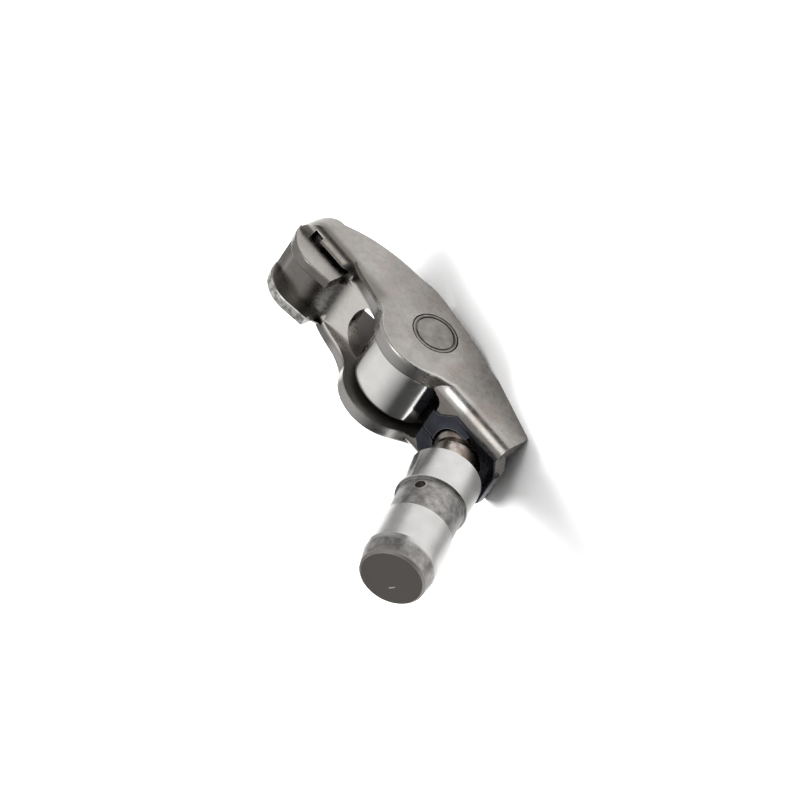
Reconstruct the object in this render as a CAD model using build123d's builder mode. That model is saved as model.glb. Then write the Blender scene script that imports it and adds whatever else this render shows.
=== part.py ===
from build123d import *
import os
from math import cos, pi, radians, sin, sqrt

os.makedirs("parts", exist_ok=True)

# Millimetres. The arm lies on its back: +Z is up, +X runs from the pivot end to the valve end.
# "Arm frame" below means: origin at the ball centre, X along the arm, Y across, Z out of the web
# on the side of the adjuster and the valve.

# ---- driving dimensions: sheet and channel ----
sheet = 2.5                # thickness of the pressed sheet
end_half_width = 7.6       # outside of the walls at the two ends
mid_half_width = 8.2       # outside of the walls beside the roller
pivot_end_x = -7.75        # end of the web at the pivot
pivot_end_half = 2.8       # half the straight part of that end
wall_end_x = -6.6          # end of the walls at the pivot
wall_corner_r = 1.0
bulge_start_x = 6.5        # the walls widen from here
bulge_full_x = 10.5        # to here
bulge_end_x = 22.0         # and narrow again from here
bulge_out_x = 27.0         # to here
tip_x = 43.8               # furthest point of the valve end
tip_corner_r = 3.6         # plan rounding of the valve end
pivot_web_z = 1.6          # outside of the web round the ball socket
waist_web_z = -1.2         # outside of the web between window and pad
valve_web_z = 0.0          # outside of the web beside the guide ears
waist_end_x = 31.0
valve_web_x = 34.2
belly_x = 16.2             # centre of the round belly of the walls
belly_z = -2.6
belly_r = 8.2
belly_foot_turn = 40       # degrees above the centre where the rim leaves the circle, pivot side
belly_crest_turn = 35      # and valve side
foot_mid_x = 7.4           # points along the rim as it runs out into the bends
foot_mid_z = 0.5
foot_end_x = 4.6
foot_end_z = -1.8
crest_mid_x = 25.8
crest_mid_z = 0.35
crest_low_x = 29.2
crest_low_z = -0.45
crest_end_x = 33.5
crest_end_z = -2.0
rim_end_slope = 0.6
rim_r = 0.6                # rounding of the rim
arch_half_x = 35.2         # points along the arched wall edge on the cam side
arch_half_z = -8.7
arch_deep_x = 23.0
arch_deep_z = -11.1
arch_run_x = 12.0
arch_run_z = -9.7
arch_end_x = 39.6
arch_end_z = -5.9
land_end_x = 4.2           # straight edge that lies on the floor, from the pivot end to here
tip_start_x = 43.4         # the web turns down here into the end wall
tip_mid_x = 43.7
tip_mid_z = -2.2
pivot_bend_r = 2.7         # outside bend radius, pivot end
valve_bend_r = 2.4         # outside bend radius, valve end
inner_edge_r = 0.3         # rounding of the walls' inner edges on the cam side
cam_edge_z = -8.0           # below this
window_cut = 0.25          # the window is cut this far past the sheet

# ---- roller ----
axle_x = 16.0
axle_z = -4.2
axle_r = 4.0
roller_r = 8.0
roller_width = 9.6
roller_bore_chamfer = 0.5
roller_edge_r = 0.6
needle_r = 0.8
needle_length = 9.0
needle_chamfer = 0.15
needle_count = 18
bearing_play = 0.04        # radial play inside and outside the needles
axle_fit = 0.03
axle_chamfer = 0.2
stake_ring_r = 3.25
stake_ring_width = 0.22
stake_ring_depth = 0.2

# ---- window, socket, pad and ears ----
window_start_x = 6.3
window_end_x = 27.9
window_start_r = 1.6
window_end_r = 4.8
ball_r = 4.2
socket_fit = 0.04
dome_wall = 1.8
mouth_r = 4.8              # rounded mouth of the socket
mouth_depth = 1.2
swing_pocket_r = 3.7       # pocket that the leaning plunger dips into
swing_pocket_reach = 5.75
swing_pocket_depth = 0.75
spray_hole_r = 0.6
ear_gap_half = 3.55        # half the gap between the two ears
ear_thick = 1.9
ear_start_x = 32.7
ear_start_z = 3.3
ear_rise_x = 36.2
ear_rise_z = 4.0
ear_turn_x = 41.4
ear_turn_z = 2.95
ear_nose_z = -0.6
ear_back_x = 42.6
ear_edge_r = 0.3
pad_start_x = 30.0
pad_top_x = 36.8
pad_top_z = 2.1
pad_end_x = 43.0
pad_end_z = -0.2
pad_r = 9.5
pad_thick = 3.2
relief_width = 0.8        # slot along the outside of each ear
relief_depth = 1.6
relief_end = 1.1           # clear of the free end of the ear
corner_hole_x = 39.2       # small hole where the ear joins the end wall
corner_hole_length = 1.9
corner_hole_width = 1.5

# ---- adjuster, measured along its axis from the ball centre ----
lean = 25.5                # angle between adjuster and web normal at rest
lean_heading = 10.3        # the lean is this far off the arm's centre plane
body_r = 6.0
body_top = 6.6
groove_start = 14.0
groove_end = 20.9
groove_depth = 0.5
taper_start = 27.9
body_end = 31.8
end_face_r = 5.05
end_chamfer = 0.35
top_chamfer = 0.8
bore_r = 4.6
body_floor = 2.6
oil_hole_r = 0.9
oil_hole_at = 15.7
oil_hole_angle = 227.0
neck_start = 1.9
neck_end = 3.3
neck_r = 3.3
stem_r = 4.15
shoulder_at = 8.4
slide_fit = 0.04
plunger_split = 15.4
reservoir_r = 2.9
reservoir_start = 5.0
passage_r = 0.7
feed_hole_r = 0.7
piston_end = 21.6
seat_web = 1.6
seat_hole_r = 1.1
check_ball_r = 1.6
check_gap = 0.06
cage_sheet = 0.3
cage_r = 1.95
cage_depth = 4.4
cage_flange_r = 4.1
cage_vent_r = 0.6
check_wire_r = 0.1
check_coil_r = 0.95
check_turns = 3
return_wire_r = 0.3
return_coil_r = 3.45
return_turns = 5
ring_width = 0.7
ring_inner_r = 4.3
ring_outer_r = 5.05
ring_fit = 0.05
ring_split = 1.5
bore_chamfer = 0.3
feed_groove_r = 4.2
feed_groove_start = 9.8
feed_groove_end = 11.2

# ---- clip ----
clip_sheet = 0.35
clip_half_width = 5.25
clip_front_near = 2.75     # the front edge reaches this far to the near side
clip_front_far = 4.0       # and this far to the far side
clip_shoulder_x = 3.0      # the near front corner is cut back to here
clip_end_near = 2.2        # width of the folded end to the near side
clip_end_far = 3.4
clip_end_cut = 1.5
clip_hole_r = 4.6
clip_lobe_r = 4.05         # the hole is longer on the side the adjuster leans to
clip_lobe_reach = 5.8
clip_lip_r = 3.9           # raised lip that holds the ball in its socket
clip_lip_rise = 0.4
clip_lip_angle = 200.0
clip_slit = 0.4
clip_slit_y = 1.25
clip_gap = 0.1             # between the folded ends and the web
clip_end_drop = 1.3        # length of the fold over the pivot end
clip_front_drop = 3.0      # length of the legs through the window
clip_catch = 0.6           # inward hook at the window edge
clip_catch_y = 2.0
clip_fold_r = 0.25

# ---- resting pose ----
rest_tilt = 19.3           # the straight edges and the roller both touch the floor at this tilt

tilt = radians(rest_tilt)
pivot_height = roller_r - axle_x * sin(tilt) - axle_z * cos(tilt)
slant = radians(lean)
heading = radians(lean_heading)

arm_x = Vector(cos(tilt), 0, sin(tilt))
arm_y = Vector(0, 1, 0)
arm_z = Vector(-sin(tilt), 0, cos(tilt))
axis_dir = (
    arm_x * (-sin(slant) * cos(heading)) + arm_y * (sin(slant) * sin(heading)) + arm_z * cos(slant)
)
swing_dir = arm_x * sin(heading) + arm_y * cos(heading)

# The origin stands on the floor under the middle of the whole length.
reach_tip = tip_x * cos(tilt) - ear_nose_z * sin(tilt)
reach_adjuster = axis_dir.X * body_end - end_face_r * sqrt(1 - axis_dir.X**2)
pivot_x = -(reach_tip + reach_adjuster) / 2
pivot = Vector(pivot_x, 0, pivot_height)

arm = Plane(origin=pivot, x_dir=arm_x, z_dir=arm_z)
side = Plane(origin=pivot, x_dir=arm_x, z_dir=Vector(0, -1, 0))
stem = Plane(origin=pivot, x_dir=swing_dir, z_dir=axis_dir)
stem_section = Plane(origin=pivot, x_dir=swing_dir, z_dir=swing_dir.cross(axis_dir))
stem_axis = Axis(pivot, axis_dir)
oil_turn = radians(oil_hole_angle)
oil_dir = swing_dir * cos(oil_turn) + axis_dir.cross(swing_dir) * sin(oil_turn)
oil_hole_plane = Plane(origin=pivot + axis_dir * oil_hole_at, z_dir=oil_dir)
feed_hole_plane = Plane(
    origin=pivot + axis_dir * (feed_groove_start + feed_groove_end) / 2, z_dir=oil_dir
)
lip_start = radians(-clip_lip_angle / 2)
lip_dir = arm_x * cos(lip_start) + arm_y * sin(lip_start)
lip_section = Plane(origin=pivot, x_dir=lip_dir, z_dir=lip_dir.cross(arm_z))
axle_centre = pivot + arm_x * axle_x + arm_z * axle_z
axle_plane = Plane(origin=axle_centre, x_dir=arm_x, z_dir=Vector(0, -1, 0))


def in_arm(shape):
    """Centre of an edge or face in the arm frame."""
    return arm.to_local_coords(shape.center())


def floor_z(x):
    """Height of the floor in the arm frame at x."""
    return -(pivot_height + x * sin(tilt)) / cos(tilt)


# ---- values that follow ----
socket_r = ball_r + socket_fit
dome_r = socket_r + dome_wall
window_mid_x = (window_start_x + window_end_x) / 2
needle_pitch_r = axle_r + bearing_play + needle_r
race_r = needle_pitch_r + needle_r + bearing_play

# ---- follower body: one pressed channel ----
deep = 30.0


def channel_half(inset, pivot_end):
    """Plan outline of the channel, the given distance inside the walls."""
    end_half = end_half_width - inset
    mid_half = mid_half_width - inset
    tip = tip_x - inset
    corner = tip_corner_r - inset
    Line((pivot_end, 0), (pivot_end, end_half))
    Line((pivot_end, end_half), (bulge_start_x, end_half))
    Spline((bulge_start_x, end_half), (bulge_full_x, mid_half), tangents=((1, 0), (1, 0)))
    Line((bulge_full_x, mid_half), (bulge_end_x, mid_half))
    Spline((bulge_end_x, mid_half), (bulge_out_x, end_half), tangents=((1, 0), (1, 0)))
    Line((bulge_out_x, end_half), (tip - corner, end_half))
    RadiusArc((tip - corner, end_half), (tip, end_half - corner), corner)
    Line((tip, end_half - corner), (tip, 0))
    mirror(about=Plane.XZ)


with BuildPart() as hollow:
    with BuildSketch(arm):
        with BuildLine():
            channel_half(sheet, pivot_end_x - sheet)
        make_face()
    extrude(amount=deep, both=True)
    with BuildSketch(side):
        with BuildLine():
            Line((-deep, pivot_web_z - sheet), (bulge_start_x, pivot_web_z - sheet))
            Line((bulge_start_x, pivot_web_z - sheet), (bulge_out_x, waist_web_z - sheet))
            Line((bulge_out_x, waist_web_z - sheet), (waist_end_x, waist_web_z - sheet))
            Spline(
                (waist_end_x, waist_web_z - sheet),
                (pad_top_x, pad_top_z - pad_thick),
                tangents=((1, 0), (1, 0)),
            )
            Line((pad_top_x, pad_top_z - pad_thick), (deep * 2, pad_top_z - pad_thick))
            Line((deep * 2, pad_top_z - pad_thick), (deep * 2, -deep))
            Line((deep * 2, -deep), (-deep, -deep))
            Line((-deep, -deep), (-deep, pivot_web_z - sheet))
        make_face()
    extrude(amount=deep, both=True, mode=Mode.INTERSECT)

with BuildPart() as ears:
    for ear_side in (ear_gap_half, -ear_gap_half - ear_thick):
        with BuildSketch(side.offset(ear_side)):
            with BuildLine():
                Line((ear_start_x, pad_top_z - pad_thick), (ear_start_x, ear_start_z))
                Line((ear_start_x, ear_start_z), (ear_rise_x, ear_rise_z))
                ThreePointArc(
                    (ear_rise_x, ear_rise_z), (ear_turn_x, ear_turn_z), (tip_x, ear_nose_z)
                )
                Line((tip_x, ear_nose_z), (ear_back_x, pad_top_z - pad_thick))
                Line((ear_back_x, pad_top_z - pad_thick), (ear_start_x, pad_top_z - pad_thick))
            make_face()
        extrude(amount=ear_thick)
    ear_crests = ears.edges().filter_by(
        lambda e: in_arm(e).Z > ear_nose_z and abs((e % 0.5).Y) < 0.5
    )
    fillet(ear_crests.filter_by(lambda e: in_arm(e).X > ear_start_x + 0.1), radius=ear_edge_r)

with BuildPart() as outline:
    with BuildSketch(arm):
        with BuildLine():
            channel_half(0, pivot_end_x)
        make_face()
    extrude(amount=deep, both=True)

# Round belly of the walls beside the roller. Its rim runs out into the bends at both ends.
with BuildPart() as belly:
    foot_top = (
        belly_x - belly_r * cos(radians(belly_foot_turn)),
        belly_z + belly_r * sin(radians(belly_foot_turn)),
    )
    crest_top = (
        belly_x + belly_r * cos(radians(belly_crest_turn)),
        belly_z + belly_r * sin(radians(belly_crest_turn)),
    )
    with BuildSketch(side):
        with BuildLine():
            Spline(
                (foot_end_x, foot_end_z),
                (foot_mid_x, foot_mid_z),
                foot_top,
                tangents=(
                    (1, rim_end_slope),
                    (sin(radians(belly_foot_turn)), cos(radians(belly_foot_turn))),
                ),
            )
            ThreePointArc(foot_top, (belly_x, belly_z + belly_r), crest_top)
            Spline(
                crest_top,
                (crest_mid_x, crest_mid_z),
                (crest_low_x, crest_low_z),
                (crest_end_x, crest_end_z),
                tangents=(
                    (sin(radians(belly_crest_turn)), -cos(radians(belly_crest_turn))),
                    (1, -rim_end_slope),
                ),
            )
            Line((crest_end_x, crest_end_z), (crest_end_x, axle_z))
            Line((crest_end_x, axle_z), (foot_end_x, axle_z))
            Line((foot_end_x, axle_z), (foot_end_x, foot_end_z))
        make_face()
    extrude(amount=deep, both=True)
    add(outline.part, mode=Mode.INTERSECT)
    rims = belly.edges().filter_by(
        lambda e: abs(in_arm(e).Y) > end_half_width - 0.05
        and in_arm(e).Z > crest_end_z
        and abs((e % 0.5).dot(arm_x)) > 0.3
    )
    fillet(rims, radius=rim_r)

    # Only the walls are raised: the web between them stays where it is.
    with BuildSketch(arm.offset(axle_z)):
        with BuildLine():
            channel_half(sheet, pivot_end_x)
        make_face()
    extrude(amount=deep, mode=Mode.SUBTRACT)

with BuildPart() as follower_body:
    add(outline.part)
    with BuildSketch(arm):
        with Locations((tip_x - tip_corner_r, 0)):
            Rectangle(2 * tip_corner_r, 2 * end_half_width)
    extrude(amount=deep, both=True)

    # Side view: the web line above, the arched edge on the cam side below.
    with BuildSketch(side):
        with BuildLine():
            Line((pivot_end_x, pivot_web_z), (belly_x, pivot_web_z))
            Line((belly_x, pivot_web_z), (belly_x, waist_web_z))
            Line((belly_x, waist_web_z), (waist_end_x, waist_web_z))
            Spline(
                (waist_end_x, waist_web_z), (valve_web_x, valve_web_z), tangents=((1, 0), (1, 0))
            )
            Line((valve_web_x, valve_web_z), (tip_start_x, valve_web_z))
            ThreePointArc((tip_start_x, valve_web_z), (tip_mid_x, tip_mid_z), (arch_end_x, arch_end_z))
            Spline(
                (arch_end_x, arch_end_z),
                (arch_half_x, arch_half_z),
                (arch_deep_x, arch_deep_z),
                (arch_run_x, arch_run_z),
                (land_end_x, floor_z(land_end_x)),
            )
            Line((land_end_x, floor_z(land_end_x)), (pivot_end_x, floor_z(pivot_end_x)))
            Line((pivot_end_x, floor_z(pivot_end_x)), (pivot_end_x, pivot_web_z))
        make_face()
    extrude(amount=deep, both=True, mode=Mode.INTERSECT)

    bends = follower_body.edges().filter_by(
        lambda e: abs(abs(in_arm(e).Y) - end_half_width) < 0.01
        and in_arm(e).Z > waist_web_z - 0.01
        and abs((e % 0.5).dot(arm_x)) > 0.5
    )
    fillet(bends.filter_by(lambda e: in_arm(e).X < bulge_start_x), radius=pivot_bend_r)
    fillet(bends.filter_by(lambda e: in_arm(e).X > bulge_out_x), radius=valve_bend_r)

    add(belly.part)
    add(outline.part, mode=Mode.INTERSECT)

    # The walls end a little before the web at the pivot, with rounded lower corners.
    with BuildSketch(arm):
        with BuildLine():
            Polyline(
                (pivot_end_x, pivot_end_half),
                (wall_end_x, end_half_width - sheet),
                (wall_end_x, 2 * end_half_width),
                (2 * pivot_end_x, 2 * end_half_width),
                (2 * pivot_end_x, pivot_end_half),
                close=True,
            )
        make_face()
        mirror(about=Plane.XZ)
    extrude(amount=deep, both=True, mode=Mode.SUBTRACT)

    # Valve pad, proud of the web between the ears.
    with BuildSketch(side):
        with BuildLine():
            Spline(
                (pad_start_x, waist_web_z), (pad_top_x, pad_top_z), tangents=((1, 0), (1, 0))
            )
            RadiusArc((pad_top_x, pad_top_z), (pad_end_x, pad_end_z), pad_r)
            Line((pad_end_x, pad_end_z), (pad_end_x, pad_top_z - pad_thick))
            Line((pad_end_x, pad_top_z - pad_thick), (pad_start_x, waist_web_z - 0.5))
            Line((pad_start_x, waist_web_z - 0.5), (pad_start_x, waist_web_z))
        make_face()
    extrude(amount=ear_gap_half + ear_thick / 2, both=True)

    add(hollow.part, mode=Mode.SUBTRACT)

    # Slots and corner holes that set the guide ears free from the walls.
    ear_outer = ear_gap_half + ear_thick
    with BuildSketch(arm.offset(valve_web_z - relief_depth)):
        with Locations((ear_start_x - relief_end, ear_outer)):
            Rectangle(
                corner_hole_x - ear_start_x + relief_end, relief_width, align=(Align.MIN, Align.MIN)
            )
        with Locations((corner_hole_x, ear_outer)):
            Rectangle(corner_hole_length, corner_hole_width, align=(Align.MIN, Align.MIN))
        with Locations((ear_start_x - relief_end, ear_gap_half)):
            Rectangle(relief_end, ear_thick, align=(Align.MIN, Align.MIN))
        mirror(about=Plane.XZ)
    extrude(amount=deep, mode=Mode.SUBTRACT)

    # Guide ears on both sides of the pad.
    add(ears.part)

    # Window over the roller: rounded ends, and as wide as the channel beside the roller.
    end_inside = end_half_width - sheet
    with BuildSketch(arm.offset(waist_web_z - sheet - window_cut)):
        with BuildLine():
            FilletPolyline(
                (window_mid_x, end_inside),
                (window_start_x, end_inside),
                (window_start_x, -end_inside),
                (window_mid_x, -end_inside),
                radius=window_start_r,
            )
            FilletPolyline(
                (window_mid_x, -end_inside),
                (window_end_x, -end_inside),
                (window_end_x, end_inside),
                (window_mid_x, end_inside),
                radius=window_end_r,
            )
        make_face()
    extrude(amount=deep, mode=Mode.SUBTRACT)
    with BuildSketch(arm.offset(waist_web_z - sheet - window_cut)):
        with BuildLine():
            channel_half(sheet, pivot_end_x)
        make_face()
        with Locations((window_start_x + window_start_r, 0)):
            Rectangle(
                window_end_x - window_end_r - window_start_x - window_start_r,
                2 * mid_half_width,
                align=(Align.MIN, Align.CENTER),
                mode=Mode.INTERSECT,
            )
    extrude(amount=deep, mode=Mode.SUBTRACT)

    # Ball socket: a dome pressed down out of the web, with a rounded mouth and a spray hole.
    with BuildSketch(side):
        with BuildLine():
            Line((0, 0), (dome_r, 0))
            ThreePointArc(
                (dome_r, 0), (dome_r * cos(pi / 4), -dome_r * sin(pi / 4)), (0, -dome_r)
            )
            Line((0, -dome_r), (0, 0))
        make_face()
    revolve(axis=Axis(pivot, arm_z))
    with BuildSketch(side):
        with BuildLine():
            Line((0, pivot_web_z + 1), (mouth_r, pivot_web_z + 1))
            Line((mouth_r, pivot_web_z + 1), (mouth_r, pivot_web_z))
            Line((mouth_r, pivot_web_z), (socket_r, pivot_web_z - mouth_depth))
            Line((socket_r, pivot_web_z - mouth_depth), (socket_r, 0))
            ThreePointArc(
                (socket_r, 0), (socket_r * cos(pi / 4), -socket_r * sin(pi / 4)), (0, -socket_r)
            )
            Line((0, -socket_r), (0, pivot_web_z + 1))
        make_face()
    revolve(axis=Axis(pivot, arm_z), mode=Mode.SUBTRACT)
    with BuildSketch(arm.offset(-dome_r - 1)):
        Circle(spray_hole_r)
    extrude(amount=dome_r, mode=Mode.SUBTRACT)
    with BuildSketch(arm.offset(pivot_web_z - swing_pocket_depth)):
        with Locations((-swing_pocket_reach + swing_pocket_r, 0)):
            Circle(swing_pocket_r)
    extrude(amount=sheet, mode=Mode.SUBTRACT)

    wall_corners = follower_body.edges().filter_by(Axis.Y).filter_by(
        lambda e: abs(in_arm(e).X - wall_end_x) < 0.01 and in_arm(e).Z < waist_web_z - sheet
    )
    fillet(wall_corners, radius=wall_corner_r)

    # The pressed edges are a little round along the cam side.
    cam_edges = follower_body.edges().filter_by(
        lambda e: end_half_width - sheet - 0.1 < abs(in_arm(e).Y) < mid_half_width - sheet + 0.05
        and in_arm(e).Z < cam_edge_z
        and abs((e % 0.5).dot(arm_x)) > 0.3
    )
    fillet(cam_edges, radius=inner_edge_r)

    # Holes for the axle.
    with BuildSketch(axle_plane):
        Circle(axle_r + axle_fit)
    extrude(amount=deep, both=True, mode=Mode.SUBTRACT)

follower_body.part.label = "follower_body"
export_step(follower_body.part, "parts/follower_body.step")

# ---- roller axle, staked into the walls ----
with BuildPart() as roller_axle:
    with BuildSketch(axle_plane):
        Circle(axle_r)
    extrude(amount=mid_half_width, both=True)
    axle_ends = roller_axle.faces().filter_by(Axis.Y)
    chamfer(axle_ends.edges(), length=axle_chamfer)
    for axle_end in axle_ends.sort_by(Axis.Y):
        with BuildSketch(Plane(axle_end)):
            Circle(stake_ring_r + stake_ring_width / 2)
            Circle(stake_ring_r - stake_ring_width / 2, mode=Mode.SUBTRACT)
        extrude(amount=-stake_ring_depth, mode=Mode.SUBTRACT)

roller_axle.part.label = "roller_axle"
export_step(roller_axle.part, "parts/roller_axle.step")

# ---- roller ring on its needles ----
with BuildPart() as roller_ring:
    with BuildSketch(axle_plane):
        Circle(roller_r)
        Circle(race_r, mode=Mode.SUBTRACT)
    extrude(amount=roller_width / 2, both=True)
    rims = roller_ring.edges().filter_by(GeomType.CIRCLE).sort_by(SortBy.LENGTH)
    chamfer(rims[:2], length=roller_bore_chamfer)
    fillet(roller_ring.edges().filter_by(GeomType.CIRCLE).sort_by(SortBy.LENGTH)[-2:], radius=roller_edge_r)

roller_ring.part.label = "roller_ring"
export_step(roller_ring.part, "parts/roller_ring.step")

for number in range(needle_count):
    turn = radians(360 / needle_count * number)
    with BuildPart() as needle:
        with BuildSketch(axle_plane):
            with Locations((needle_pitch_r * cos(turn), needle_pitch_r * sin(turn))):
                Circle(needle_r)
        extrude(amount=needle_length / 2, both=True)
        chamfer(needle.edges().filter_by(GeomType.CIRCLE), length=needle_chamfer)
    needle.part.label = f"needle_{number + 1:02d}"
    export_step(needle.part, f"parts/needle_{number + 1:02d}.step")

# ---- spring clip over the web, holding the ball in the socket ----
clip_mid = pivot_web_z + clip_sheet / 2
clip_end_x = pivot_end_x - clip_gap / 2 - clip_sheet / 2
clip_front_x = window_start_x + clip_gap + clip_sheet / 2
with BuildPart() as retaining_clip:
    with BuildSketch(side):
        with BuildLine() as strip:
            FilletPolyline(
                (clip_end_x, clip_mid - clip_end_drop),
                (clip_end_x, clip_mid),
                (clip_front_x, clip_mid),
                (clip_front_x, clip_mid - clip_front_drop),
                (clip_front_x - clip_catch, clip_mid - clip_front_drop),
                radius=clip_fold_r,
            )
        trace(line_width=clip_sheet)
    extrude(amount=clip_half_width, both=True)
    with BuildSketch(arm):
        with BuildLine():
            Polyline(
                (clip_end_x - clip_sheet, -clip_end_near),
                (clip_end_x + clip_end_cut, -clip_half_width),
                (clip_shoulder_x, -clip_half_width),
                (clip_shoulder_x + clip_half_width - clip_front_near, -clip_front_near),
                (clip_front_x + clip_sheet, -clip_front_near),
                (clip_front_x + clip_sheet, clip_front_far),
                (window_start_x, clip_front_far),
                (window_start_x - clip_half_width + clip_front_far, clip_half_width),
                (clip_end_x + clip_end_cut, clip_half_width),
                (clip_end_x - clip_sheet, clip_end_far),
                close=True,
            )
        make_face()
        Circle(clip_hole_r, mode=Mode.SUBTRACT)
        with Locations((clip_lobe_r - clip_lobe_reach, 0)):
            Circle(clip_lobe_r, mode=Mode.SUBTRACT)
    extrude(amount=deep, both=True, mode=Mode.INTERSECT)

    # The hook at the window edge leaves room for the dome of the socket.
    with BuildSketch(arm.offset(pivot_web_z - sheet)):
        with Locations((clip_front_x - clip_sheet / 2, 0)):
            Rectangle(2 * clip_catch, 2 * clip_catch_y, align=(Align.MAX, Align.CENTER))
    extrude(amount=-clip_front_drop, mode=Mode.SUBTRACT)

    # Raised lip round the ball.
    with BuildSketch(lip_section):
        with BuildLine():
            Polyline(
                (clip_hole_r + clip_sheet / 4, pivot_web_z),
                (clip_hole_r + clip_sheet / 4, pivot_web_z + clip_sheet),
                (clip_lip_r, pivot_web_z + clip_sheet + clip_lip_rise),
                (clip_lip_r, pivot_web_z + clip_lip_rise),
                close=True,
            )
        make_face()
    revolve(axis=Axis(pivot, arm_z), revolution_arc=clip_lip_angle)
    with BuildSketch(arm):
        with Locations((0, clip_slit_y)):
            Rectangle(deep, clip_slit, align=(Align.MIN, Align.CENTER))
    extrude(amount=deep, both=True, mode=Mode.SUBTRACT)

retaining_clip.part.label = "retaining_clip"
export_step(retaining_clip.part, "parts/retaining_clip.step")

# ---- hydraulic adjuster: outer body ----
with BuildPart() as adjuster_body:
    with BuildSketch(stem_section):
        with BuildLine():
            Polyline(
                (bore_r + bore_chamfer, body_top),
                (body_r - top_chamfer, body_top),
                (body_r, body_top + top_chamfer),
                (body_r, groove_start),
                (body_r - groove_depth, groove_start + groove_depth / 2),
                (body_r - groove_depth, groove_end - groove_depth / 2),
                (body_r, groove_end),
                (body_r, taper_start),
                (end_face_r + end_chamfer, body_end - end_chamfer),
                (end_face_r, body_end),
                (0, body_end),
                (0, body_end - body_floor),
                (bore_r, body_end - body_floor),
                (bore_r, shoulder_at + ring_fit),
                (ring_outer_r + ring_fit, shoulder_at + ring_fit),
                (ring_outer_r + ring_fit, shoulder_at - ring_width - ring_fit),
                (bore_r, shoulder_at - ring_width - ring_fit),
                (bore_r, body_top + bore_chamfer),
                close=True,
            )
        make_face()
    revolve(axis=stem_axis)
    with BuildSketch(oil_hole_plane):
        Circle(oil_hole_r)
    extrude(amount=2 * body_r, mode=Mode.SUBTRACT)

adjuster_body.part.label = "adjuster_body"
export_step(adjuster_body.part, "parts/adjuster_body.step")

# ---- split ring that keeps the plunger in the body ----
with BuildPart() as retainer_ring:
    with BuildSketch(stem.offset(shoulder_at - ring_width)):
        Circle(ring_outer_r)
        Circle(ring_inner_r, mode=Mode.SUBTRACT)
        Rectangle(deep, ring_split, align=(Align.MIN, Align.CENTER), mode=Mode.SUBTRACT)
    extrude(amount=ring_width)

retainer_ring.part.label = "retainer_ring"
export_step(retainer_ring.part, "parts/retainer_ring.step")

# ---- plunger head with the ball ----
ball_foot = -sqrt(ball_r**2 - passage_r**2)
ball_top_r = sqrt(ball_r**2 - neck_start**2)
guide_r = bore_r - slide_fit
with BuildPart() as plunger_head:
    with BuildSketch(stem_section):
        with BuildLine():
            ThreePointArc((passage_r, ball_foot), (ball_r, 0), (ball_top_r, neck_start))
            Polyline(
                (ball_top_r, neck_start),
                (neck_r, neck_start),
                (neck_r, neck_end),
                (stem_r, neck_end),
                (stem_r, shoulder_at),
                (guide_r, shoulder_at),
                (guide_r, feed_groove_start),
                (feed_groove_r, feed_groove_start),
                (feed_groove_r, feed_groove_end),
                (guide_r, feed_groove_end),
                (guide_r, plunger_split),
                (reservoir_r, plunger_split),
                (reservoir_r, reservoir_start),
                (passage_r, reservoir_start),
                (passage_r, ball_foot),
            )
        make_face()
    revolve(axis=stem_axis)
    with BuildSketch(feed_hole_plane):
        Circle(feed_hole_r)
    extrude(amount=2 * body_r, mode=Mode.SUBTRACT)

plunger_head.part.label = "plunger_head"
export_step(plunger_head.part, "parts/plunger_head.step")

# ---- plunger piston with the seat of the check valve ----
with BuildPart() as plunger_piston:
    with BuildSketch(stem_section):
        with BuildLine():
            Polyline(
                (reservoir_r, plunger_split),
                (guide_r, plunger_split),
                (guide_r, piston_end),
                (seat_hole_r, piston_end),
                (seat_hole_r, piston_end - seat_web),
                (reservoir_r, piston_end - seat_web),
                close=True,
            )
        make_face()
    revolve(axis=stem_axis)

plunger_piston.part.label = "plunger_piston"
export_step(plunger_piston.part, "parts/plunger_piston.step")

# ---- check valve: ball, cage and its spring ----
check_ball_at = piston_end + sqrt(check_ball_r**2 - seat_hole_r**2) + check_gap
with BuildPart() as check_ball:
    with Locations(pivot + axis_dir * check_ball_at):
        Sphere(check_ball_r)

check_ball.part.label = "check_ball"
export_step(check_ball.part, "parts/check_ball.step")

cage_end = piston_end + cage_depth
with BuildPart() as check_cage:
    with BuildSketch(stem_section):
        with BuildLine():
            Polyline(
                (cage_r, piston_end),
                (cage_flange_r, piston_end),
                (cage_flange_r, piston_end + cage_sheet),
                (cage_r + cage_sheet, piston_end + cage_sheet),
                (cage_r + cage_sheet, cage_end),
                (cage_vent_r, cage_end),
                (cage_vent_r, cage_end - cage_sheet),
                (cage_r, cage_end - cage_sheet),
                close=True,
            )
        make_face()
    revolve(axis=stem_axis)

check_cage.part.label = "check_cage"
export_step(check_cage.part, "parts/check_cage.step")


def ground_spring(coil_r, wire_r, start, end, turns):
    """Compression spring on the adjuster axis, both ends ground flat."""
    path = stem.offset(start + wire_r / 2).location * Helix(
        pitch=(end - start - wire_r) / turns, height=end - start - wire_r, radius=coil_r
    )
    wire = Plane(origin=path @ 0, z_dir=path % 0)
    coil = sweep(wire * Circle(wire_r), path=path)
    slab = extrude(stem.offset(start).location * Circle(coil_r * 2), amount=end - start, dir=axis_dir)
    return coil & slab


check_spring_start = check_ball_at + sqrt((check_ball_r + check_wire_r) ** 2 - check_coil_r**2)
check_spring = ground_spring(
    check_coil_r, check_wire_r, check_spring_start, cage_end - cage_sheet, check_turns
)
check_spring.label = "check_spring"
export_step(check_spring, "parts/check_spring.step")

return_spring = ground_spring(
    return_coil_r, return_wire_r, piston_end + cage_sheet, body_end - body_floor, return_turns
)
return_spring.label = "return_spring"
export_step(return_spring, "parts/return_spring.step")
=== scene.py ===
import math

import bpy
from mathutils import Matrix, Vector

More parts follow.
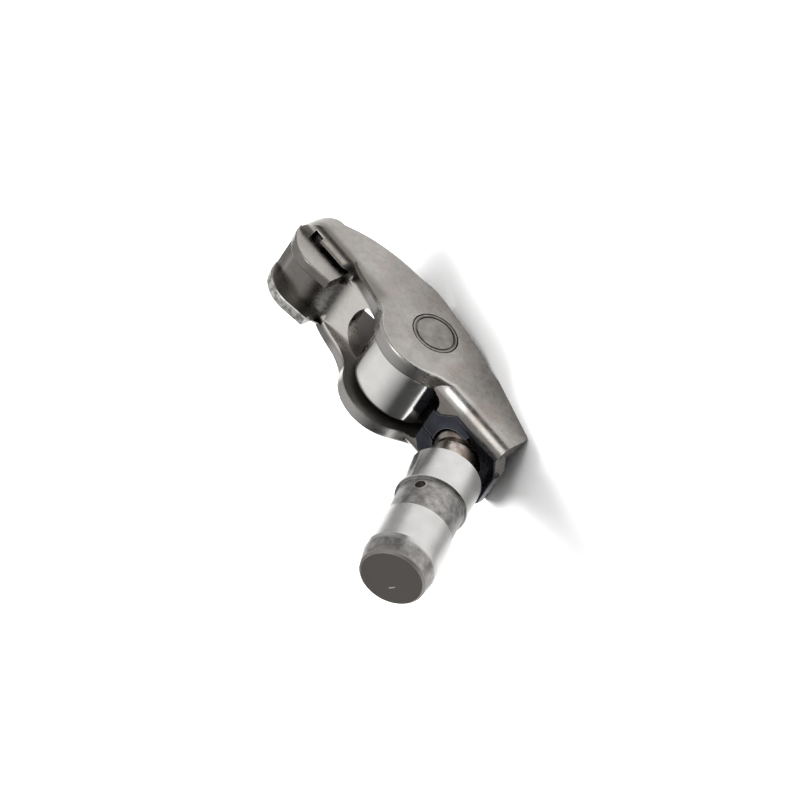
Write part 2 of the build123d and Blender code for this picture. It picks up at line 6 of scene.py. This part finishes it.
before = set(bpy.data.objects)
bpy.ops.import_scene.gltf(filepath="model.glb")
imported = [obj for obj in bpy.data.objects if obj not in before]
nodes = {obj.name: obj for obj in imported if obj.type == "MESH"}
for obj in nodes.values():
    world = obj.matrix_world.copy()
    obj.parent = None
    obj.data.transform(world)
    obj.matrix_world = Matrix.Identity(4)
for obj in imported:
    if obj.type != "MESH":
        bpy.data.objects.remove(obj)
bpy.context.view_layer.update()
scene = bpy.context.scene


# Node helpers. Each adds its nodes to the tree and returns a socket.


def newMaterial(name, kind="ShaderNodeBsdfPrincipled"):
    material = bpy.data.materials.new(name)
    material.use_nodes = True
    tree = material.node_tree
    tree.nodes.clear()
    output = tree.nodes.new("ShaderNodeOutputMaterial")
    shader = tree.nodes.new(kind)
    tree.links.new(shader.outputs["BSDF"], output.inputs["Surface"])
    return material, tree, shader


def finish(names, material):
    for name in names:
        node = nodes[name]
        node.data.materials.clear()
        node.data.materials.append(material)


def feed(tree, socket, value):
    if isinstance(value, bpy.types.NodeSocket):
        tree.links.new(value, socket)
    else:
        socket.default_value = value


def objectPlace(tree):
    return tree.nodes.new("ShaderNodeTexCoord").outputs["Object"]


def noise(tree, place, scale, detail=4.0, roughness=0.55):
    node = tree.nodes.new("ShaderNodeTexNoise")
    node.inputs["Scale"].default_value = scale
    node.inputs["Detail"].default_value = detail
    node.inputs["Roughness"].default_value = roughness
    tree.links.new(place, node.inputs["Vector"])
    return node.outputs["Fac"]


def mapped(tree, place, origin, turn, scale):
    node = tree.nodes.new("ShaderNodeMapping")
    node.vector_type = "TEXTURE"
    node.inputs["Location"].default_value = origin
    node.inputs["Rotation"].default_value = turn
    node.inputs["Scale"].default_value = scale
    tree.links.new(place, node.inputs["Vector"])
    return node.outputs["Vector"]


def ramp(tree, value, stops):
    node = tree.nodes.new("ShaderNodeValToRGB")
    band = node.color_ramp
    while len(band.elements) < len(stops):
        band.elements.new(0.5)
    for element, (place, colour) in zip(band.elements, stops):
        element.position = place
        element.color = (*colour, 1.0)
    tree.links.new(value, node.inputs["Fac"])
    return node.outputs["Color"]


# Takes low..high to newLow..newHigh and holds the ends.
def spread(tree, value, low, high, newLow=0.0, newHigh=1.0):
    node = tree.nodes.new("ShaderNodeMapRange")
    for name, number in (
        ("From Min", low),
        ("From Max", high),
        ("To Min", newLow),
        ("To Max", newHigh),
    ):
        node.inputs[name].default_value = number
    tree.links.new(value, node.inputs["Value"])
    return node.outputs["Result"]


def mixColour(tree, factor, first, second):
    node = tree.nodes.new("ShaderNodeMix")
    node.data_type = "RGBA"
    for socket, value in ((0, factor), (6, first), (7, second)):
        if isinstance(value, tuple):
            value = (*value, 1.0)
        feed(tree, node.inputs[socket], value)
    return node.outputs[2]


def joined(tree, kind, first, second=0.0):
    node = tree.nodes.new("ShaderNodeMath")
    node.operation = kind
    feed(tree, node.inputs[0], first)
    feed(tree, node.inputs[1], second)
    return node.outputs["Value"]


def product(tree, *factors):
    result = factors[0]
    for factor in factors[1:]:
        result = joined(tree, "MULTIPLY", result, factor)
    return result


def vectorMath(tree, kind, first, second=None):
    node = tree.nodes.new("ShaderNodeVectorMath")
    node.operation = kind
    feed(tree, node.inputs[0], first)
    if second is not None:
        feed(tree, node.inputs[1], second)
    return node.outputs["Value" if kind in ("DOT_PRODUCT", "LENGTH") else "Vector"]


def bump(tree, shader, height, strength, distance):
    node = tree.nodes.new("ShaderNodeBump")
    node.inputs["Strength"].default_value = strength
    node.inputs["Distance"].default_value = distance
    tree.links.new(height, node.inputs["Height"])
    tree.links.new(node.outputs["Normal"], shader.inputs["Normal"])


# 1 from low to high, fading to 0 over the soft distance past both ends.
def between(tree, value, low, high, soft):
    rise = spread(tree, value, low - soft, low)
    fall = spread(tree, value, high, high + soft, 1.0, 0.0)
    return product(tree, rise, fall)


# 1 where every (value, low, high, soft) band holds.
def region(tree, *bands):
    return product(tree, *[between(tree, *band) for band in bands])


# Grows to 1 on sharp outer edges.
def edgeWear(tree, radius):
    bevel = tree.nodes.new("ShaderNodeBevel")
    bevel.samples = 6
    bevel.inputs["Radius"].default_value = radius
    geometry = tree.nodes.new("ShaderNodeNewGeometry")
    alike = vectorMath(tree, "DOT_PRODUCT", bevel.outputs["Normal"], geometry.outputs["Normal"])
    return spread(tree, alike, 0.97, 0.75)


# Painted shade: grows to 0.8 in corners and slots.
def creviceShadeMask(tree, reach):
    node = tree.nodes.new("ShaderNodeAmbientOcclusion")
    node.samples = 6
    node.inputs["Distance"].default_value = reach
    return spread(tree, node.outputs["AO"], 0.50, 0.10, 0.0, 0.8)


# Distance along an axis and distance from it, in metres.
def place(tree, origin, axis):
    moved = vectorMath(tree, "SUBTRACT", objectPlace(tree), origin)
    along = vectorMath(tree, "DOT_PRODUCT", moved, axis)
    out = vectorMath(tree, "LENGTH", vectorMath(tree, "CROSS_PRODUCT", moved, axis))
    return along, out


# X, Y and Z in millimetres in the arm's own frame.
def armPlace(tree):
    vector = mapped(tree, objectPlace(tree), pivot, (0.0, -tilt, 0.0), (0.001, 0.001, 0.001))
    parts = tree.nodes.new("ShaderNodeSeparateXYZ")
    tree.links.new(vector, parts.inputs["Vector"])
    return parts.outputs["X"], parts.outputs["Y"], parts.outputs["Z"]


# How far the surface faces along an axis, from -1 to 1.
def facing(tree, axis):
    normal = tree.nodes.new("ShaderNodeTexCoord").outputs["Normal"]
    return vectorMath(tree, "DOT_PRODUCT", normal, axis)


# The rings that a turning tool leaves.
def turnedRings(tree, distance, pitch):
    return joined(tree, "SINE", product(tree, distance, pitch))


# The frame's own places.

tilt = math.radians(19.3)  # of the arm on the floor
armY = Vector((0, 1, 0))
armZ = Vector((-math.sin(tilt), 0, math.cos(tilt)))
pivot = Vector((-0.0078609, 0, 0.0066757))  # middle of the ball
axle = Vector((0.0086281, 0, 0.008))
adjusterAxis = Vector((-0.69809, 0.07698, 0.71186))  # from the ball to the adjuster's end


# Camera.

camera = {
    "up": Vector((0.7796, -0.625, -0.0386)),
    "back": Vector((-0.4905, -0.647, 0.5837)),
    "aside": -0.009469,
    "above": 0.0075,
    "distance": 0.910,
    "lens": 262.1,
}
back = camera["back"].normalized()
right = camera["up"].cross(back).normalized()
up = back.cross(right)
aim = pivot + right * camera["aside"] + up * camera["above"]
cameraData = bpy.data.cameras.new("camera")
cameraData.lens = camera["lens"]
cameraData.sensor_width = 36
cameraData.clip_start = 0.05
cameraData.clip_end = 10
cameraObject = bpy.data.objects.new("camera", cameraData)
scene.collection.objects.link(cameraObject)
turned = Matrix((right, up, back)).transposed().to_4x4()
cameraObject.matrix_world = Matrix.Translation(aim + back * camera["distance"]) @ turned
scene.camera = cameraObject
print("camera set")


# Pressed arm: heat-treated sheet steel, satin warm grey. Its places are in the arm's millimetres.

pressed = {
    "dark": (0.170, 0.161, 0.150),
    "middle": (0.218, 0.208, 0.195),
    "light": (0.272, 0.261, 0.247),
    "rust": (0.215, 0.172, 0.150),
    # painted shade for the faces inside the channel
    "scale": (0.110, 0.101, 0.093),
    "shade": (0.085, 0.078, 0.070),
    # painted shade in corners, in slots and below the web
    "paintedCreviceShade": (0.030, 0.027, 0.025),
    "polished": (0.60, 0.59, 0.565),
    # painted light on the upward faces of the web
    "web": (0.72, 0.69, 0.65),
    # worn edges, and painted light on the cut edges beside the roller
    "edge": (0.44, 0.43, 0.415),
    "broadScale": 150,
    "fineScale": 900,
    "grainScale": 4200,
    "rustScale": 190,
    "rustMost": 0.55,
    "valveEnd": 0.22,
    # how much painted shade falls inside the channel and below the web
    "inside": 0.65,
    "belowWebShade": 0.7,
    "shadeMost": 0.80,
    # how much painted light the cut edges beside the roller get
    "paintedCutEdgeLightMost": 0.75,
    "edgeRadius": 0.00018,
    "edgeMost": 0.6,
    "creviceReach": 0.0022,
    "roughLow": 0.24,
    "roughHigh": 0.34,
    "insideRougher": 0.2,
    "bumpStrength": 0.07,
    "bumpDistance": 0.00004,
}
material, tree, shader = newMaterial("pressedSteel")
where = objectPlace(tree)
broad = noise(tree, where, pressed["broadScale"], 3.0, 0.5)
fine = noise(tree, where, pressed["fineScale"], 4.0, 0.6)
grain = noise(tree, where, pressed["grainScale"], 2.0, 0.5)
mottle = joined(tree, "ADD", product(tree, broad, 0.55), product(tree, fine, 0.45))
tones = [(0.34, pressed["dark"]), (0.50, pressed["middle"]), (0.66, pressed["light"])]
base = ramp(tree, mottle, tones)
rust = spread(tree, noise(tree, where, pressed["rustScale"], 2.0, 0.5), 0.52, 0.70, 0.0, pressed["rustMost"])
base = mixColour(tree, rust, base, pressed["rust"])

along, across, above = armPlace(tree)
outwards = joined(tree, "ABSOLUTE", across)
sideways = product(tree, across, facing(tree, armY))  # below 0 on faces that look inwards
upwards = facing(tree, armZ)

# The arm darkens towards the valve end.
valveEnd = spread(tree, along, 8.0, 24.0, 0.0, pressed["valveEnd"])
base = mixColour(tree, valveEnd, base, pressed["shade"])

# Painted light: the upward faces of the web are lightened, standing in for the light they reflect.
webTop = product(
    tree,
    between(tree, along, 20.0, 41.0, 1.0),
    spread(tree, upwards, 0.5, 0.8),
    between(tree, outwards, -1.0, 5.3, 0.6),
    spread(tree, above, 0.2, 1.2, 1.0, 0.0),
)
base = mixColour(tree, webTop, base, pressed["web"])
# Painted light: the upward faces of the cut edges beside the roller are lightened too, standing in for the
# light they reflect.
paintedCutEdgeLight = product(
    tree,
    between(tree, along, 4.0, 27.0, 2.0),
    spread(tree, outwards, 5.7, 6.0),
    spread(tree, upwards, 0.1, 0.4, 0.0, pressed["paintedCutEdgeLightMost"]),
)
base = mixColour(tree, paintedCutEdgeLight, base, pressed["edge"])

# Painted shade on the faces inside the channel, darkest below the web.
looksIn = joined(tree, "MAXIMUM", spread(tree, sideways, -2.0, -4.5), spread(tree, upwards, -0.1, -0.5))
inner = product(tree, looksIn, between(tree, outwards, -1.0, 5.9, 0.3))
base = mixColour(tree, product(tree, inner, pressed["inside"]), base, pressed["scale"])
belowWebShade = product(tree, inner, spread(tree, above, -0.5, -2.0, 0.0, pressed["belowWebShade"]))
base = mixColour(tree, belowWebShade, base, pressed["paintedCreviceShade"])

# Darker bends beside the ears and below the rim that leads to the roller.
bendShade = region(tree, (along, 32.5, 41.5, 2.0), (outwards, 5.7, 8.0, 0.5), (above, -2.2, -0.1, 0.9))
rimShade = region(tree, (along, 26.0, 33.0, 2.0), (outwards, 7.3, 9.0, 0.2), (above, -1.6, 0.4, 1.6))
shade = joined(tree, "MAXIMUM", bendShade, rimShade)
base = mixColour(tree, product(tree, shade, pressed["shadeMost"]), base, pressed["shade"])

# The far ear's crest is rubbed bright.
crest = product(
    tree,
    region(tree, (along, 33.0, 41.0, 1.5), (across, 3.6, 5.5, 0.1)),
    spread(tree, upwards, 0.35, 0.6),
    spread(tree, above, 0.5, 1.0),
    spread(tree, fine, 0.42, 0.56, 0.25, 1.0),
)
base = mixColour(tree, crest, base, pressed["polished"])

worn = product(tree, edgeWear(tree, pressed["edgeRadius"]), pressed["edgeMost"])
base = mixColour(tree, worn, base, pressed["edge"])
# Painted shade in corners and slots.
base = mixColour(tree, creviceShadeMask(tree, pressed["creviceReach"]), base, pressed["paintedCreviceShade"])
tree.links.new(base, shader.inputs["Base Color"])
shader.inputs["Metallic"].default_value = 1.0
rough = spread(tree, fine, 0.35, 0.65, pressed["roughLow"], pressed["roughHigh"])
rough = joined(tree, "ADD", rough, product(tree, inner, pressed["insideRougher"]))
tree.links.new(rough, shader.inputs["Roughness"])
height = joined(tree, "ADD", product(tree, fine, 0.7), product(tree, grain, 0.3))
bump(tree, shader, height, pressed["bumpStrength"], pressed["bumpDistance"])
finish(["follower_body"], material)
print("arm finished")


# Roller axle: turned steel, staked.

axleLook = {
    "dark": (0.118, 0.111, 0.105),
    "face": (0.190, 0.181, 0.170),
    "gap": (0.030, 0.027, 0.025),
    "gapFrom": 0.00372,
    "gapWidth": 0.00012,
    "gapMost": 0.9,
    "stakeRadius": 0.00336,
    "stakeWidth": 0.00012,
    "stakeMost": 0.75,
    "mottleScale": 700,
    "ringPitch": 42000.0,
    "rough": (0.26, 0.40),
}
material, tree, shader = newMaterial("axleSteel")
along, out = place(tree, axle, armY)
mottle = noise(tree, objectPlace(tree), axleLook["mottleScale"], 4.0, 0.6)
face = ramp(tree, mottle, [(0.35, axleLook["dark"]), (0.65, axleLook["face"])])
gapFrom, gapTo = axleLook["gapFrom"], axleLook["gapFrom"] + axleLook["gapWidth"]
gap = spread(tree, out, gapFrom, gapTo, 0.0, axleLook["gapMost"])
face = mixColour(tree, gap, face, axleLook["gap"])
stakeFrom = axleLook["stakeRadius"] - axleLook["stakeWidth"]
stakeTo = axleLook["stakeRadius"] + axleLook["stakeWidth"]
stake = between(tree, out, stakeFrom, stakeTo, 0.00008)
face = mixColour(tree, product(tree, stake, axleLook["stakeMost"]), face, axleLook["gap"])
tree.links.new(face, shader.inputs["Base Color"])
shader.inputs["Metallic"].default_value = 1.0
tree.links.new(spread(tree, mottle, 0.3, 0.7, *axleLook["rough"]), shader.inputs["Roughness"])
bump(tree, shader, turnedRings(tree, out, axleLook["ringPitch"]), 0.12, 0.00001)
finish(["roller_axle"], material)
print("axle finished")


# Roller and needles: superfinished bearing steel.

rollerLook = {
    "light": (0.86, 0.85, 0.83),
    "dull": (0.74, 0.73, 0.71),
    "rough": (0.13, 0.20),
    "cloudScale": 220,
    "lineScale": 1400,
    "lineStretch": (1.0, 0.04, 1.0),
}
material, tree, shader = newMaterial("rollerSteel")
where = objectPlace(tree)
noMove = (0.0, 0.0, 0.0)
lapped = mapped(tree, where, noMove, noMove, rollerLook["lineStretch"])
lines = noise(tree, lapped, rollerLook["lineScale"], 3.0, 0.6)
cloud = noise(tree, where, rollerLook["cloudScale"], 3.0, 0.5)
steel = ramp(tree, cloud, [(0.3, rollerLook["dull"]), (0.7, rollerLook["light"])])
tree.links.new(steel, shader.inputs["Base Color"])
shader.inputs["Metallic"].default_value = 1.0
tree.links.new(spread(tree, cloud, 0.3, 0.7, *rollerLook["rough"]), shader.inputs["Roughness"])
bump(tree, shader, lines, 0.05, 0.000008)
rollerNodes = ["roller_ring"] + sorted(name for name in nodes if name.startswith("needle"))
finish(rollerNodes, material)
print("roller finished", len(rollerNodes))


# Clip: blued spring steel.

clipLook = {
    "deep": (0.024, 0.025, 0.031),
    "sheen": (0.046, 0.050, 0.063),
    "worn": (0.36, 0.365, 0.38),
    "wornRadius": 0.00012,
    "wornMost": 0.8,
    "cloudScale": 260,
    "grainScale": 2600,
    "rough": (0.22, 0.36),
}
material, tree, shader = newMaterial("clipSteel")
where = objectPlace(tree)
cloud = noise(tree, where, clipLook["cloudScale"], 4.0, 0.6)
blued = ramp(tree, cloud, [(0.35, clipLook["deep"]), (0.68, clipLook["sheen"])])
worn = product(tree, edgeWear(tree, clipLook["wornRadius"]), clipLook["wornMost"])
tree.links.new(mixColour(tree, worn, blued, clipLook["worn"]), shader.inputs["Base Color"])
shader.inputs["Metallic"].default_value = 0.9
tree.links.new(spread(tree, cloud, 0.3, 0.7, *clipLook["rough"]), shader.inputs["Roughness"])
bump(tree, shader, noise(tree, where, clipLook["grainScale"], 2.0, 0.5), 0.08, 0.00002)
finish(["retaining_clip"], material)
print("clip finished")


# Adjuster body: ground bands, mottled black-oxide groove and foot, dull end with a small nick.

adjusterLook = {
    "ground": (0.385, 0.380, 0.374),
    "groundDull": (0.330, 0.325, 0.317),
    "oxide": (0.115, 0.110, 0.104),
    "oxideLight": (0.265, 0.256, 0.247),
    "endFace": (0.205, 0.192, 0.180),
    "endMottle": 0.1,
    "edge": (0.82, 0.81, 0.79),
    "edgeRadius": 0.0002,
    "bandRadius": 0.00592,
    "bandFade": 0.0001,
    "endFrom": 0.0312,
    "endFade": 0.00005,
    "mottleScale": 620,
    "groundScale": 300,
    "nick": Vector((-0.030254, 0.004072, 0.028245)),
    "nickAlong": Vector((-0.5048, -0.7580, -0.4131)),
    "nickAcross": Vector((0.5078, -0.6477, 0.5680)),
    "nickLong": 0.00050,
    "nickWide": 0.00008,
    "roughDark": 0.42,
    "roughGround": 0.20,
    "endRougher": 0.12,
    "ringPitch": 60000.0,
}
material, tree, shader = newMaterial("adjusterSteel")
along, out = place(tree, pivot, adjusterAxis)
where = objectPlace(tree)
mottle = noise(tree, where, adjusterLook["mottleScale"], 5.0, 0.65)
dark = ramp(tree, mottle, [(0.38, adjusterLook["oxide"]), (0.66, adjusterLook["oxideLight"])])
cloud = noise(tree, where, adjusterLook["groundScale"], 4.0, 0.5)
ground = ramp(tree, cloud, [(0.35, adjusterLook["groundDull"]), (0.65, adjusterLook["ground"])])
bandRadius, endFrom = adjusterLook["bandRadius"], adjusterLook["endFrom"]
onBand = spread(tree, out, bandRadius - adjusterLook["bandFade"], bandRadius)
colour = mixColour(tree, onBand, dark, ground)
atEnd = spread(tree, along, endFrom - adjusterLook["endFade"], endFrom)
endTone = mixColour(
    tree,
    product(tree, mottle, adjusterLook["endMottle"]),
    adjusterLook["endFace"],
    adjusterLook["oxideLight"],
)
colour = mixColour(tree, atEnd, colour, endTone)
colour = mixColour(tree, edgeWear(tree, adjusterLook["edgeRadius"]), colour, adjusterLook["edge"])
nickAlong = place(tree, adjusterLook["nick"], adjusterLook["nickAlong"])[0]
nickAcross = place(tree, adjusterLook["nick"], adjusterLook["nickAcross"])[0]
nickLong, nickWide = adjusterLook["nickLong"], adjusterLook["nickWide"]
nick = region(tree, (nickAlong, -nickLong, nickLong, 0.0001), (nickAcross, -nickWide, nickWide, 0.00006))
colour = mixColour(tree, product(tree, nick, atEnd), colour, adjusterLook["edge"])
tree.links.new(colour, shader.inputs["Base Color"])
shader.inputs["Metallic"].default_value = 0.9
rough = spread(tree, onBand, 0.0, 1.0, adjusterLook["roughDark"], adjusterLook["roughGround"])
rough = joined(tree, "ADD", rough, product(tree, atEnd, adjusterLook["endRougher"]))
tree.links.new(rough, shader.inputs["Roughness"])
rings = product(tree, turnedRings(tree, along, adjusterLook["ringPitch"]), 0.15)
bump(tree, shader, joined(tree, "ADD", rings, product(tree, mottle, 0.6)), 0.12, 0.00002)
finish(["adjuster_body", "retainer_ring"], material)
print("adjuster finished")


# Plunger and check valve: ground steel with a brown heat tint.

plungerLook = {
    "bright": (0.30, 0.28, 0.26),
    "tint": (0.135, 0.088, 0.065),
    "tintMost": 0.85,
    "tintScale": 420,
    "grainScale": 1500,
    "rough": (0.20, 0.36),
}
material, tree, shader = newMaterial("plungerSteel")
where = objectPlace(tree)
cloud = noise(tree, where, plungerLook["tintScale"], 4.0, 0.6)
tint = spread(tree, cloud, 0.40, 0.64, 0.0, plungerLook["tintMost"])
tinted = mixColour(tree, tint, plungerLook["bright"], plungerLook["tint"])
tree.links.new(tinted, shader.inputs["Base Color"])
shader.inputs["Metallic"].default_value = 1.0
tree.links.new(spread(tree, tint, 0.0, 0.75, *plungerLook["rough"]), shader.inputs["Roughness"])
bump(tree, shader, noise(tree, where, plungerLook["grainScale"], 3.0, 0.5), 0.06, 0.00002)
finish(["plunger_head", "plunger_piston", "check_ball", "check_cage"], material)
print("plunger finished")


# Springs: drawn wire.

wireLook = {
    "light": (0.36, 0.35, 0.34),
    "dark": (0.16, 0.155, 0.15),
    "cloudScale": 900,
    "rough": (0.25, 0.40),
}
material, tree, shader = newMaterial("springSteel")
cloud = noise(tree, objectPlace(tree), wireLook["cloudScale"], 3.0, 0.5)
wire = ramp(tree, cloud, [(0.35, wireLook["dark"]), (0.65, wireLook["light"])])
tree.links.new(wire, shader.inputs["Base Color"])
shader.inputs["Metallic"].default_value = 0.95
tree.links.new(spread(tree, cloud, 0.3, 0.7, *wireLook["rough"]), shader.inputs["Roughness"])
finish(["check_spring", "return_spring"], material)
print("springs finished")


# Floor: white paper. Its colour is raised where it is seen, also in metal, and not where it gives light.

floorLook = {
    "size": 1.6,
    "seen": 1.16,
    "lit": 0.85,
    "paper": (0.98, 1.0),
    "paperScale": 30,
}
bpy.ops.mesh.primitive_plane_add(size=floorLook["size"], location=(0, 0, 0))
floor = bpy.context.object
floor.name = "floor"
material, tree, shader = newMaterial("floorPaper", "ShaderNodeBsdfDiffuse")
clouds = noise(tree, objectPlace(tree), floorLook["paperScale"], 2.0, 0.5)
paper = spread(tree, clouds, 0.3, 0.7, *floorLook["paper"])
rays = tree.nodes.new("ShaderNodeLightPath").outputs
seen = joined(tree, "MAXIMUM", rays["Is Camera Ray"], rays["Is Glossy Ray"])
seen = joined(tree, "MAXIMUM", seen, rays["Is Transmission Ray"])
gain = spread(tree, seen, 0.0, 1.0, floorLook["lit"], floorLook["seen"])
tree.links.new(product(tree, paper, gain), shader.inputs["Color"])
floor.data.materials.append(material)
print("floor set")


# Light: two soft lamps, and a bright dome overhead that falls off to a dark horizon.

studio = {
    "middle": Vector((0.004, 0, 0.01)),
    "topTowards": Vector((0.40, 0.40, 1.0)),
    "topDistance": 0.55,
    "topSize": (0.30, 0.30),
    "topWatts": 4.0,
    "stripTowards": Vector((0.04, -0.71, 0.75)),
    "stripDistance": 0.6,
    "stripSize": (0.20, 0.34),
    "stripWatts": 0.95,
    "domeTowards": (0.45, 0.0, 0.90),
    "domeFrom": 0.14,
    "domeTo": 0.72,
    "domeDark": 0.06,
    "domeBright": 0.86,
    "white": (1.0, 1.0, 1.0),
}


def softbox(name, towards, distance, size, watts):
    data = bpy.data.lights.new(name, "AREA")
    data.shape = "RECTANGLE"
    data.size, data.size_y = size
    data.energy = watts
    lamp = bpy.data.objects.new(name, data)
    scene.collection.objects.link(lamp)
    away = towards.normalized()
    lamp.location = studio["middle"] + away * distance
    lamp.rotation_mode = "QUATERNION"
    lamp.rotation_quaternion = away.to_track_quat("Z", "Y")
    return lamp


topLamp = softbox(
    "lightTop", studio["topTowards"], studio["topDistance"], studio["topSize"], studio["topWatts"]
)
topLamp.visible_glossy = False  # its shape would burn out the rims
softbox(
    "lightCamera",
    studio["stripTowards"],
    studio["stripDistance"],
    studio["stripSize"],
    studio["stripWatts"],
)

world = bpy.data.worlds.new("world")
scene.world = world
world.use_nodes = True
tree = world.node_tree
tree.nodes.clear()
output = tree.nodes.new("ShaderNodeOutputWorld")
background = tree.nodes.new("ShaderNodeBackground")
tree.links.new(background.outputs["Background"], output.inputs["Surface"])
direction = tree.nodes.new("ShaderNodeTexCoord").outputs["Generated"]
overhead = vectorMath(tree, "DOT_PRODUCT", direction, studio["domeTowards"])
dome = spread(
    tree,
    overhead,
    studio["domeFrom"],
    studio["domeTo"],
    studio["domeDark"],
    studio["domeBright"],
)
rays = tree.nodes.new("ShaderNodeLightPath").outputs
seen = joined(tree, "MAXIMUM", rays["Is Camera Ray"], rays["Is Transmission Ray"])
tree.links.new(mixColour(tree, seen, dome, studio["white"]), background.inputs["Color"])
background.inputs["Strength"].default_value = 1.0

scene.view_settings.view_transform = "Standard"
print("light set")

bpy.context.view_layer.update()
